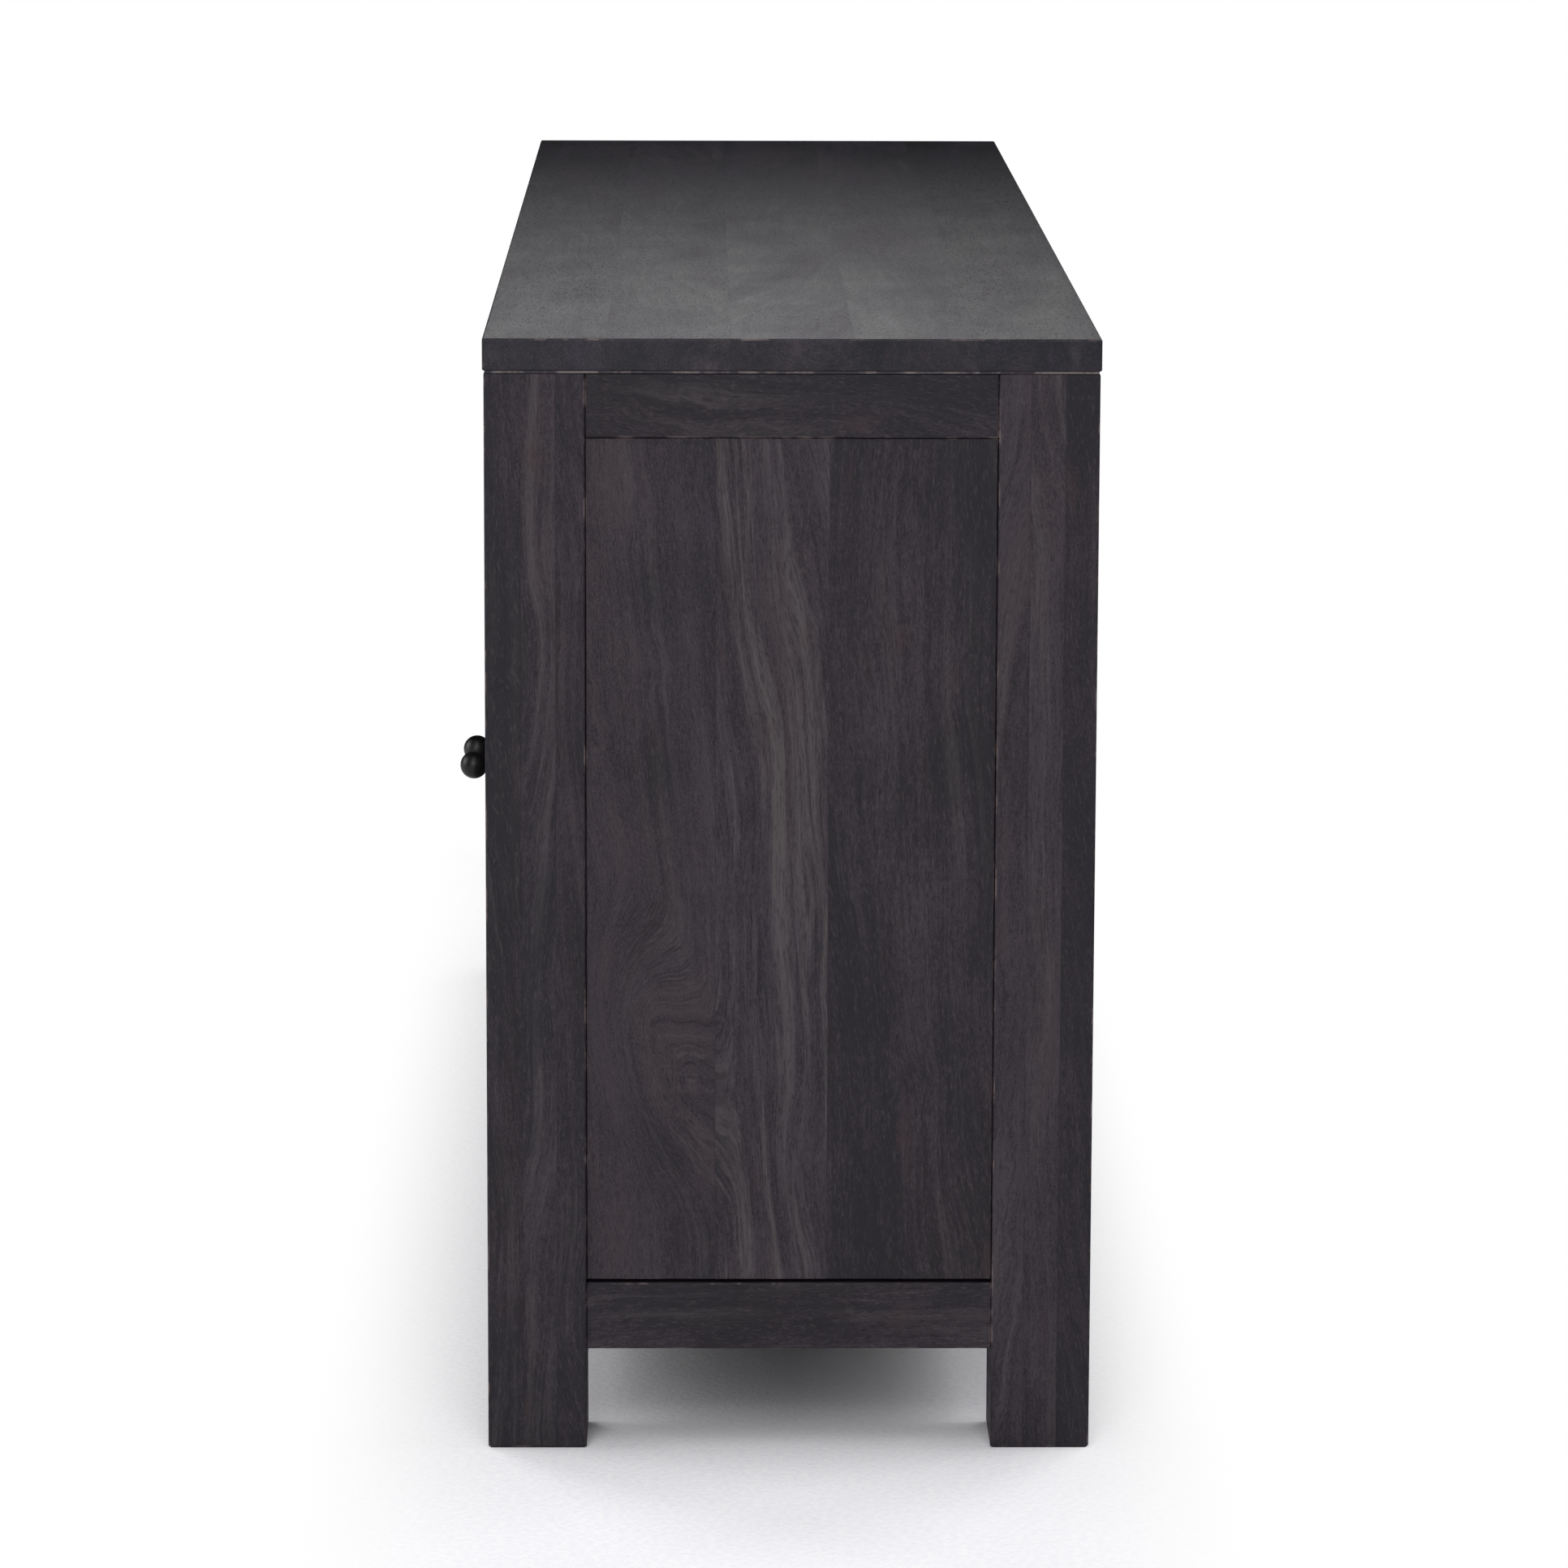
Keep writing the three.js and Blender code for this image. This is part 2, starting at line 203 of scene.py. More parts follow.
def knot_pull(tree, across, along, source):
    """How strongly the grain is bent round the board's knot, and how far off the knot is."""
    side = math_node(tree, "SUBTRACT", across, source.outputs["Knot Across"])
    up = math_node(tree, "SUBTRACT", along, source.outputs["Knot Along"])
    skew = total(tree, side, product(tree, up, KNOT_LEAN))
    away = vector_node(tree, "LENGTH", vector_of(tree, skew, product(tree, up, KNOT_SQUASH), 0.0))
    near = math_node(tree, "DIVIDE", away, source.outputs["Knot Size"])
    return product(tree, rest_of(tree, ramp_between(tree, near, 0.0, 1.0)), KNOT_BEND), away


BOARD_INPUTS = {
    "Seed": 1.0,
    "First Joint": -10.0, "Stave": 1.0, "Joints": 1.0,
    "Knot Across": 0.0, "Knot Along": 9.0, "Knot Size": 0.01,
    "Pale Stave": -1.0, "Elsewhere": 0.6,
}    # a plain board: no glue line and no knot within reach, and no pale stave
BOARD_MARKS = ("Tone", "Streak", "Slate", "Pores", "Flecks", "Rust", "Joint", "Relief", "Stave Tone")


def grain_group():
    """Board figure: across is X, into the board is Y, along the grain is Z, all in metres."""
    tree = bpy.data.node_groups.new("board_grain", "ShaderNodeTree")
    group_socket(tree, "Point", "Vector", "INPUT")
    for name, default in BOARD_INPUTS.items():
        group_socket(tree, name, "Float", "INPUT", default)
    for name in BOARD_MARKS:
        group_socket(tree, name, "Float", "OUTPUT")
    source = tree.nodes.new("NodeGroupInput")
    result = tree.nodes.new("NodeGroupOutput")
    point = source.outputs["Point"]
    across, into, along = split(tree, point)
    index, joint = stave_of(tree, across, source)
    off_pale = math_node(tree, "ABSOLUTE", math_node(tree, "SUBTRACT", index, source.outputs["Pale Stave"]))
    pale = rest_of(tree, math_node(tree, "MINIMUM", off_pale, 1.0))
    figured = math_node(tree, "MAXIMUM", pale, source.outputs["Elsewhere"])

    # every stave is cut from a different place in the tree
    chance = new_node(tree, "TexWhiteNoise", noise_dimensions="3D")
    tree.links.new(vector_of(tree, index, source.outputs["Seed"], 0.0), chance.inputs["Vector"])
    luck = split(tree, chance.outputs["Color"])
    jump = vector_node(tree, "MULTIPLY", chance.outputs["Color"], (3.0, 3.0, 7.0))
    own = vector_node(tree, "ADD", point, jump)

    # the fibres sway, lean, curl in patches and pass round the knot
    sway = centred(tree, noise(tree, own, (5, 5, 2.0), detail=2.0), 0.10)
    drift = centred(tree, noise(tree, own, (17, 17, 6), detail=2.0), 0.016)
    curly = ramp_between(tree, noise(tree, own, (9, 9, 5), detail=1.0, shift=(4, 2, 6)), 0.56, 0.72)
    curl = product(tree, centred(tree, noise(tree, own, (60, 60, 38), detail=2.0), 0.016), curly)
    lean = product(tree, along, centred(tree, luck[0], 0.16))
    moved = total(tree, sway, drift, curl, lean)
    pull, away = knot_pull(tree, across, along, source)
    straight = math_node(tree, "ADD", across, moved)
    mixed = new_node(tree, "Mix", data_type="FLOAT")
    feed(tree, mixed.inputs[0], pull)
    feed(tree, mixed.inputs[2], straight)
    feed(tree, mixed.inputs[3], total(tree, away, product(tree, drift, 1.5)))
    flow = mixed.outputs[0]
    bent = vector_node(tree, "ADD", vector_of(tree, flow, into, along), jump)

    # year rings: distance from a heart line behind the face
    heart_across = math_node(tree, "ADD", flow, centred(tree, luck[0], 0.16))
    heart_into = total(tree, into, product(tree, luck[1], 0.06), product(tree, along, 0.03), 0.03)
    heart = vector_node(tree, "LENGTH", vector_of(tree, heart_across, heart_into, 0.0))
    ring = new_node(tree, "TexNoise", noise_dimensions="1D")
    feed(tree, ring.inputs["W"], total(tree, heart, product(tree, luck[2], 9.0)))
    ring.inputs["Scale"].default_value = 190.0
    ring.inputs["Detail"].default_value = 3.0
    ring.inputs["Roughness"].default_value = 0.6

    # from broad bands down to single fibres
    band = noise(tree, bent, (24, 16, 2.2), detail=3.0, rough=0.55)
    cloud = noise(tree, own, (16, 16, 10), detail=4.0, rough=0.6, shift=(1, 4, 8))
    brush = noise(tree, bent, (190, 90, 3.6), detail=3.0, rough=0.55, shift=(7, 3, 1))
    wide = noise(tree, bent, (105, 50, 2.8), detail=3.0, rough=0.5, shift=(3, 5, 9))
    fibre = noise(tree, bent, (640, 640, 24), detail=3.0, rough=0.65)
    grit = noise(tree, own, (1500, 1500, 600), detail=2.0, rough=0.7)
    speck = noise(tree, own, (640, 640, 300), detail=2.0, rough=0.8, shift=(8, 1, 2))
    pore = noise(tree, bent, (1150, 1150, 120), detail=1.5, rough=0.5)
    fleck = noise(tree, bent, (800, 800, 150), detail=1.0, rough=0.5, shift=(31, 7, 3))
    patch = noise(tree, bent, (13, 9, 3.0), detail=3.0, rough=0.6, shift=(5, 9, 2))
    blue = noise(tree, bent, (11, 9, 2.6), detail=4.0, rough=0.6, shift=(2, 8, 5))
    spot = noise(tree, bent, (52, 52, 15), detail=2.0, rough=0.5, shift=(6, 6, 6))

    pores = ramp_between(tree, pore, 0.54, 0.68)
    flecks = ramp_between(tree, fleck, 0.56, 0.72)
    where_pale = ramp_between(tree, math_node(tree, "MULTIPLY_ADD", pale, 0.12, patch), 0.44, 0.64)
    line = product(tree, ramp_between(tree, brush, 0.52, 0.6), product(tree, pale, -0.2))
    ragged = total(tree, centred(tree, fibre, 0.45), centred(tree, brush, 0.35), wide)
    strength = product(tree, figured, rest_of(tree, pull))
    streak = product(tree, ramp_between(tree, ragged, 0.42, 0.76), product(tree, where_pale, strength))
    tone = total(tree, 0.5, line, product(tree, pale, 0.14), centred(tree, band, 1.1),
                 centred(tree, cloud, 1.15), centred(tree, brush, 0.5),
                 centred(tree, ring.outputs["Fac"], 0.35), centred(tree, fibre, 0.7),
                 centred(tree, grit, 1.5), centred(tree, speck, 1.0))
    bluish = total(tree, blue, centred(tree, speck, 0.35), centred(tree, fibre, 0.2))
    rust = ramp_between(tree, spot, 0.66, 0.76)
    relief = total(tree, centred(tree, brush, 0.5), centred(tree, fibre, 0.6), product(tree, pores, -0.55),
                   product(tree, joint, -0.9), centred(tree, grit, 0.35))

    slate = ramp_between(tree, bluish, 0.36, 0.64)
    for name, value in zip(BOARD_MARKS, (tone, streak, slate, pores, flecks, rust, joint, relief, luck[2])):
        tree.links.new(value, result.inputs[name])
    return tree


GRAIN = grain_group()


# ---------------------------------------------------------------- wood finishes

CHARCOAL = {
    "dark": colour(19, 15, 22), "middle": colour(34, 27, 35), "light": colour(54, 46, 51),
    "streak": colour(82, 77, 77), "pore": colour(16, 14, 19), "fleck": colour(88, 81, 82),
    "slate": (0.78, 0.85, 1.0, 1.0), "rust": colour(54, 38, 40), "worn": colour(124, 108, 106),
    # bare is the rubbed-bare wood of the set-back strip, made lighter than bare wood as painted light
    # against the strip's shade
    "bare": colour(106, 98, 97),
    "rough": (0.5, 0.66), "stave": 0.5, "level": 0.28,
}
TOP_CHARCOAL = dict(CHARCOAL, dark=colour(17, 17, 23), middle=colour(29, 26, 33), light=colour(46, 40, 47),
                    streak=colour(70, 62, 69), rough=(0.34, 0.48), stave=0.3)
INSIDE = dict(CHARCOAL, dark=colour(30, 26, 28), middle=colour(44, 39, 40), light=colour(61, 53, 53),
              rough=(0.6, 0.75), level=0.25)
CLEAR = {
    "dark": colour(104, 73, 48), "middle": colour(146, 109, 75), "light": colour(178, 140, 100),
    "streak": colour(194, 160, 120), "pore": colour(76, 50, 33), "fleck": colour(205, 178, 142),
    "slate": (0.96, 0.92, 0.86, 1.0), "rust": colour(112, 68, 42), "worn": colour(190, 160, 124),
    "rough": (0.5, 0.65), "stave": 0.3, "level": 0.3,
}


def stained(tree, board, finish):
    """The colour of the stained face, before any wear."""
    own_tone = centred(tree, board.outputs["Stave Tone"], finish["stave"])
    tone = math_node(tree, "ADD", board.outputs["Tone"], own_tone)
    stain = new_node(tree, "ValToRGB")
    stain.color_ramp.elements[0].position = 0.2
    stain.color_ramp.elements[0].color = finish["dark"]
    stain.color_ramp.elements[1].position = 0.85
    stain.color_ramp.elements[1].color = finish["light"]
    stain.color_ramp.elements.new(0.5).color = finish["middle"]
    tree.links.new(tone, stain.inputs[0])
    bluer = product(tree, board.outputs["Slate"], 0.75)
    coat = mix_colours(tree, bluer, stain.outputs[0], finish["slate"], "MULTIPLY")
    for mark, paint, strength in (("Streak", "streak", 0.6), ("Rust", "rust", 0.4), ("Pores", "pore", 0.4),
                                  ("Flecks", "fleck", 0.16), ("Joint", "dark", 0.3)):
        coat = mix_colours(tree, product(tree, board.outputs[mark], strength), coat, finish[paint])
    return coat


TOP_STRIP = (824 * MM, 826 * MM)    # the heights of the set-back strip under the top board
UNDER_TOP = sum(TOP_STRIP) / 2    # the edges beside that strip are too close together to be rubbed
STRIP_SHADOW_EDGE = 0.3 * MM    # how gently the strip's pale paint starts and stops; the stained margins it leaves are painted shadow lines at the strip's edges


def rub_edges(tree, coat, soft, where, worn, wear):
    """Thins the stain on the arrises, in patches: where the face turns, and on eased edges."""
    shape = new_node(tree, "NewGeometry")
    agree = vector_node(tree, "DOT_PRODUCT", soft.outputs[0], shape.outputs["Normal"])
    turning = rest_of(tree, ramp_between(tree, agree, 0.86, 0.99))
    flat = split(tree, vector_node(tree, "ABSOLUTE", where.outputs["Normal"]))
    squarest = math_node(tree, "MAXIMUM", math_node(tree, "MAXIMUM", flat[0], flat[1]), flat[2])
    eased = rest_of(tree, ramp_between(tree, squarest, 0.8, 0.97))
    rubbed = noise(tree, where.outputs["Object"], (34, 34, 34), detail=5.0, rough=0.7)
    bare = product(tree, math_node(tree, "MAXIMUM", turning, eased), ramp_between(tree, rubbed, 0.5, 0.66))
    height = split(tree, where.outputs["Object"])[2]
    off_joint = math_node(tree, "ABSOLUTE", math_node(tree, "SUBTRACT", height, UNDER_TOP))
    bare = product(tree, bare, ramp_between(tree, off_joint, 3 * MM, 5 * MM))
    return mix_colours(tree, product(tree, bare, wear), coat, worn)


def paint_strip_light_and_wear(tree, coat, where, finish):
    """Paints the set-back strip pale: a lighter stain all over is painted light against the shade under the
    top board's overhang, and in patches it is rubbed bare, which is wear in a colour also lightened against
    that shade.
    """
    low, high = TOP_STRIP
    height = split(tree, where.outputs["Object"])[2]
    # the soft margins left stained at the strip's top and bottom are painted shadow lines
    above = ramp_between(tree, height, low, low + STRIP_SHADOW_EDGE)
    below = rest_of(tree, ramp_between(tree, height, high - STRIP_SHADOW_EDGE, high))
    inside = product(tree, above, below)
    patches = noise(tree, where.outputs["Object"], (30, 30, 30), detail=4.0, rough=0.7)
    gaps = ramp_between(tree, patches, 0.44, 0.6)
    # painted light: the lighter stain lifts the strip out of the shade under the top board's overhang
    coat = mix_colours(tree, inside, coat, finish["light"])
    # wear: rubbed-bare patches, their colour also lightened against that shade
    return mix_colours(tree, product(tree, inside, gaps), coat, finish["bare"])


def wood(name, centre, across, grain, seed, finish=CHARCOAL, joints=None, wear=0.5, knot=None,
         pale=None, strip=False):
    """One board's wood. joints is (first glue line from the centre, stave width, how many lines),
    knot is (across, along, size), pale is (the palest stave, how figured the others are), and strip
    says that the board has the set-back strip."""
    material = bpy.data.materials.new(name)
    material.use_nodes = True
    tree = material.node_tree
    shader = tree.nodes["Principled BSDF"]
    where = new_node(tree, "TexCoord")
    place = new_node(tree, "Mapping", vector_type="TEXTURE")
    turn = Matrix((across, grain.cross(across), grain)).transposed()
    place.inputs["Location"].default_value = centre
    place.inputs["Rotation"].default_value = turn.to_euler()
    tree.links.new(where.outputs["Object"], place.inputs["Vector"])
    board = tree.nodes.new("ShaderNodeGroup")
    board.node_tree = GRAIN
    tree.links.new(place.outputs[0], board.inputs["Point"])
    board.inputs["Seed"].default_value = seed
    for names, values in ((("First Joint", "Stave", "Joints"), joints),
                          (("Pale Stave", "Elsewhere"), pale),
                          (("Knot Across", "Knot Along", "Knot Size"), knot)):
        for key, value in zip(names, values or ()):
            board.inputs[key].default_value = value

    coat = stained(tree, board, finish)
    soft = new_node(tree, "Bevel")
    soft.samples = 4
    soft.inputs["Radius"].default_value = 1.1 * MM
    coat = rub_edges(tree, coat, soft, where, finish["worn"], wear)
    # the set-back strip is painted pale: painted light against its shade, and rubbed wear
    if strip:
        coat = paint_strip_light_and_wear(tree, coat, where, finish)
    tree.links.new(coat, shader.inputs["Base Color"])

    low, high = finish["rough"]
    matt = math_node(tree, "MULTIPLY_ADD", board.outputs["Tone"], high - low, low)
    rough = math_node(tree, "MULTIPLY_ADD", board.outputs["Pores"], 0.12, matt)
    tree.links.new(rough, shader.inputs["Roughness"])
    shader.inputs["Specular IOR Level"].default_value = finish["level"]
    bump = new_node(tree, "Bump")
    bump.inputs["Strength"].default_value = 0.3
    bump.inputs["Distance"].default_value = 0.2 * MM
    tree.links.new(board.outputs["Relief"], bump.inputs["Height"])
    tree.links.new(soft.outputs[0], bump.inputs["Normal"])
    tree.links.new(bump.outputs[0], shader.inputs["Normal"])
    return material


def middle_of(node):
    low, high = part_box(node)
    return (low + high) / 2


def finish_node(node, material):
    """Gives a frame piece its finished material."""
    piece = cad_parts[node]
    piece.data.materials.clear()
    piece.data.materials.append(material)


def dress_node(node, across, grain, seed, **more):
    finish_node(node, wood("wood_" + node, middle_of(node), across, grain, seed, **more))


POST_STAVE = 26 * MM
FRONT_POST_JOINTS = (-10.5 * MM, POST_STAVE, 2)
BACK_POST_JOINTS = (-13.5 * MM, POST_STAVE, 2)
END_PANEL_JOINTS = (-56.5 * MM, 85 * MM, 2)
END_PANEL_KNOT = (-97 * MM, -150 * MM, 60 * MM)
NO_PALE_STAVE = -1


def dress_carcass():
    dress_node("top_slab", Y, X, 3.0, finish=TOP_CHARCOAL, joints=(-138 * MM, 92 * MM, 4), wear=0.6,
               strip=True)
    for number, side in enumerate(("right", "left")):
        dress_node(f"post_front_{side}", Y, Z, 105.0 + number, joints=FRONT_POST_JOINTS,
                   pale=(NO_PALE_STAVE, 0.5))
        dress_node(f"post_back_{side}", Y, Z, 201.0 + number, joints=BACK_POST_JOINTS,
                   pale=(NO_PALE_STAVE, 0.5))
        dress_node(f"end_rail_top_{side}", Z, Y, 21.0 + number)
        dress_node(f"end_rail_bottom_{side}", Z, Y, 25.0 + number)
        dress_node(f"end_panel_{side}", Y, Z, 38.0 + number, joints=END_PANEL_JOINTS,
                   knot=END_PANEL_KNOT, pale=(1, 0.35))
        dress_node(f"partition_{side}", Y, Z, 41.0 + number, joints=(-110 * MM, 110 * MM, 3), finish=INSIDE)
        dress_node(f"shelf_{side}", Y, X, 45.0 + number, joints=(-102 * MM, 102 * MM, 3), finish=INSIDE)
    dress_node("front_rail_top", Z, X, 51.0)
    dress_node("front_rail_bottom", Z, X, 52.0)
    dress_node("back_rail_top", Z, X, 53.0)
    dress_node("back_rail_bottom", Z, X, 54.0)
    dress_node("back_panel", Z, X, 55.0, joints=(-220 * MM, 110 * MM, 5), finish=INSIDE)
    dress_node("floor_panel", Y, X, 56.0, joints=(-104 * MM, 104 * MM, 3), finish=INSIDE)


dress_carcass()


def plain(name, base, rough, metal, level=0.5):
    """A smooth material with a slightly cloudy colour and a fine grit in its gloss."""
    material = bpy.data.materials.new(name)
    material.use_nodes = True
    tree = material.node_tree
    shader = tree.nodes["Principled BSDF"]
    where = new_node(tree, "TexCoord")
    grit = noise(tree, where.outputs["Object"], (900, 900, 900), detail=3.0, rough=0.6)
    cloud = noise(tree, where.outputs["Object"], (60, 60, 60), detail=2.0, rough=0.5)
    lighter = tuple(min(1.0, c * 1.6 + 0.004) for c in base[:3]) + (1.0,)
    coat = mix_colours(tree, ramp_between(tree, cloud, 0.35, 0.75), base, lighter)
    tree.links.new(coat, shader.inputs["Base Color"])
    tree.links.new(math_node(tree, "MULTIPLY_ADD", grit, 0.16, rough - 0.08), shader.inputs["Roughness"])
    shader.inputs["Metallic"].default_value = metal
    shader.inputs["Specular IOR Level"].default_value = level
    bump = new_node(tree, "Bump")
    bump.inputs["Strength"].default_value = 0.12
    bump.inputs["Distance"].default_value = 0.05 * MM
    tree.links.new(grit, bump.inputs["Height"])
    tree.links.new(bump.outputs[0], shader.inputs["Normal"])
    return material


KNOB_BLACK = plain("knob_black", colour(5, 5, 6), 0.42, 0.0, level=0.35)
STEEL = plain("zinc_steel", colour(150, 152, 156), 0.34, 1.0)
MAGNET_CASE = plain("catch_brown", colour(58, 44, 36), 0.5, 0.0)
MAGNET = plain("catch_magnet", colour(52, 52, 55), 0.42, 1.0)

CUPBOARDS = {
    "door_left_outer": "left", "door_left_inner": "right",
    "door_right_inner": "left", "door_right_outer": "right",
}    # which edge of each door has the pins
DRAWERS = (1, 2, 3)


# ---------------------------------------------------------------- modelling helpers

SMOOTH_BELOW = 0.6    # faces that meet at less than this angle, in radians, shade as one


def new_piece(name, mesh, body, materials, replaced=()):
    """Turns a finished mesh into a piece that rides on a body and takes the given materials."""
    bmesh.ops.recalc_face_normals(mesh, faces=mesh.faces)
    for face in mesh.faces:
        face.smooth = True
    for edge in mesh.edges:
        edge.smooth = len(edge.link_faces) == 2 and edge.calc_face_angle(0.0) < SMOOTH_BELOW
    data = bpy.data.meshes.new(name)
    mesh.to_mesh(data)
    mesh.free()
    piece = bpy.data.objects.new(name, data)
    bpy.context.scene.collection.objects.link(piece)
    for material in materials:
        data.materials.append(material)
    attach(piece, body)
    if replaced:
        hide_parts(*replaced)
    return piece


def turned(mesh, outline, foot, along, steps=40, material=0):
    """Spins an outline of (radius, distance from the foot) about the line through foot."""
    side = along.orthogonal().normalized()
    points = [mesh.verts.new(foot + side * radius + along * reach) for radius, reach in outline]
    edges = [mesh.edges.new(pair) for pair in zip(points, points[1:])]
    before = set(mesh.faces)
    bmesh.ops.spin(mesh, geom=points + edges, cent=foot, axis=along, angle=2 * math.pi, steps=steps,
                   use_merge=True)
    bmesh.ops.remove_doubles(mesh, verts=mesh.verts, dist=0.002 * MM)
    for face in set(mesh.faces) - before:
        face.material_index = material


def arc(centre, radius, start, end, steps):
    """Points of an outline round (radius, reach) centre, angles in degrees from straight ahead."""
    turns = [math.radians(start + (end - start) * i / steps) for i in range(steps + 1)]
    return [(max(0.0, centre[0] + radius * math.sin(t)), centre[1] + radius * math.cos(t)) for t in turns]


def moulding(section, start, run):
    """A straight stick: the section is a ring of points, and run is how far it goes."""
    mesh = bmesh.new()
    ring = mesh.faces.new([mesh.verts.new(start + point) for point in section])
    grown = bmesh.ops.extrude_face_region(mesh, geom=[ring], use_keep_orig=True)
    far = [part for part in grown["geom"] if isinstance(part, bmesh.types.BMVert)]
    bmesh.ops.translate(mesh, vec=run, verts=far)
    bmesh.ops.recalc_face_normals(mesh, faces=mesh.faces)
    return mesh


def notched(width, deep, notches):
    """A width by deep section as (across, into) pairs, with notches (side, low, high, depth) let in:
    side 0 is the edge at nought across, side 1 the edge at full width."""
    ring = [(0.0, 0.0), (width, 0.0)]
    for _, low, high, depth in sorted(note for note in notches if note[0] == 1):
        ring += [(width, low), (width - depth, low), (width - depth, high), (width, high)]
    ring += [(width, deep), (0.0, deep)]
    for _, low, high, depth in sorted((note for note in notches if note[0] == 0), reverse=True):
        ring += [(0.0, high), (depth, high), (depth, low), (0.0, low)]
    return ring


SAME_PLACE = 0.001 * MM


def ease(mesh, offset=0.7 * MM):
    """Takes the sharpness off the edges that lie on the outside of the stick."""
    low, high = limits(mesh)

    def outside(edge):
        shared = 0
        for axis in range(3):
            for plane in (low[axis], high[axis]):
                shared += all(abs(corner.co[axis] - plane) < SAME_PLACE for corner in edge.verts)
        return shared >= 2

    edges = [edge for edge in mesh.edges if outside(edge)]
    bmesh.ops.bevel(mesh, geom=edges, offset=offset, segments=2, affect="EDGES", profile=0.5,
                    material=-1)


def limits(mesh):
    low = Vector([min(corner.co[axis] for corner in mesh.verts) for axis in range(3)])
    high = Vector([max(corner.co[axis] for corner in mesh.verts) for axis in range(3)])
    return low, high


def runs_along(edge, axis):
    first, second = edge.verts
    return abs((first.co - second.co).normalized()[axis]) > 0.9


def block(mesh, low, high, round_off, along=None, segments=3, material=0):
    """A block between two corners, its edges rounded: all of them, or those along one axis."""
    before = set(mesh.faces)
    made = bmesh.ops.create_cube(mesh, size=1.0)["verts"]
    bmesh.ops.scale(mesh, vec=high - low, verts=made)
    bmesh.ops.translate(mesh, vec=(low + high) / 2, verts=made)
    edges = {edge for corner in made for edge in corner.link_edges}
    if along is not None:
        edges = {edge for edge in edges if runs_along(edge, along)}
    bmesh.ops.bevel(mesh, geom=list(edges), offset=round_off, segments=segments, affect="EDGES",
                    profile=0.5, material=-1)
    for face in set(mesh.faces) - before:
        face.material_index = material


def screw_head(mesh, foot, along, radius=3.6 * MM, high=1.2 * MM, material=0):
    """A low domed head with a round socket."""
    socket = [(0.0, high * 0.35), (radius * 0.34, high * 0.35), (radius * 0.38, high * 0.96)]
    dome = [(radius * 0.6, high), (radius * 0.93, high * 0.62), (radius, high * 0.3)]
    outline = socket + dome + [(radius, 0.0), (0.0, 0.0)]
    turned(mesh, outline, foot, along, steps=20, material=material)


# ---------------------------------------------------------------- knobs and their screws

FOOT_R, FOOT_LONG, NECK_R, BALL_R = 8 * MM, 2 * MM, 5 * MM, 11 * MM
SUNK = 0.05 * MM    # how far a screw head's flat back lies inside the wood


def knob(node, body, seat):
    """A ball knob turned in one piece with its neck and foot; seat is how deep its foot sits."""
    low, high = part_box(node)
    foot = Vector(((low.x + high.x) / 2, high.y, (low.z + high.z) / 2))
    reach = high.y - low.y - seat
    centre = reach - BALL_R
    outline = [(0.0, 0.0), (FOOT_R - 0.3 * MM, 0.0)]
    outline += arc((FOOT_R - 0.8 * MM, FOOT_LONG - 0.8 * MM), 0.78 * MM, 90, 0, 4)
    outline += [(NECK_R + 1.4 * MM, FOOT_LONG + 0.2 * MM), (NECK_R + 0.5 * MM, FOOT_LONG + 1.1 * MM)]
    outline += [(NECK_R, FOOT_LONG + 2.6 * MM), (NECK_R - 0.1 * MM, centre - BALL_R * 0.93)]
    outline += arc((0.0, centre), BALL_R - 0.01 * MM, 180 - math.degrees(math.asin(NECK_R / BALL_R)), 0, 18)
    mesh = bmesh.new()
    turned(mesh, outline, foot, -Y, steps=48)
    new_piece(node + "_turned", mesh, body, [KNOB_BLACK], [node])
    return foot


def knob_screw(body, foot, face):
    """The screw that holds a knob, its head on the face of wood behind."""
    mesh = bmesh.new()
    screw_head(mesh, Vector((foot.x, face - SUNK, foot.z)), Y, 4.6 * MM, 2.2 * MM)
    new_piece(body + "_knob_screw", mesh, body, [STEEL])


for door in CUPBOARDS:
    foot = knob(door + "_knob", door, 0.0)
    knob_screw(door, foot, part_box(door + "_frame")[1].y)

HIDDEN_SEAT = 1 * MM    # the drawers' knobs sit deeper, so that the near post hides them from the camera
BOX_WALL = 14 * MM

for number in DRAWERS:
    drawer = f"drawer_{number}"
    foot = knob(drawer + "_knob", drawer, HIDDEN_SEAT)
    knob_screw(drawer, foot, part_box(drawer + "_box")[0].y + BOX_WALL)


# ---------------------------------------------------------------- doors

STILE = 72 * MM
PANEL_IN = 8 * MM
STICKS = {
    "stile_pin": wood("door_stile_pin_wood", ORIGIN, X, Z, 81.0, wear=0.55),
    "stile_free": wood("door_stile_free_wood", ORIGIN, X, Z, 83.0, wear=0.55),
    "rail_top": wood("door_rail_top_wood", ORIGIN, Z, X, 86.0, wear=0.55),
    "rail_bottom": wood("door_rail_bottom_wood", ORIGIN, Z, X, 88.0, wear=0.55),
}


def door_section(door, groove_side):
    """The section of one stick, with the groove that holds the panel."""
    low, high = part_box(door + "_frame")
    panel_low, panel_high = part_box(door + "_panel")
    groove = (groove_side, panel_low.y - low.y, panel_high.y - low.y, PANEL_IN)
    return notched(STILE, high.y - low.y, [groove])


def door_stile(door, name, left_edge, groove_side):
    low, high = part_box(door + "_frame")
    section = door_section(door, groove_side)
    start = Vector((left_edge, low.y, low.z))
    mesh = moulding([Vector((across, into, 0)) for across, into in section], start, Z * (high.z - low.z))
    ease(mesh)
    new_piece(f"{door}_{name}", mesh, door, [STICKS[name]], [door + "_frame"])


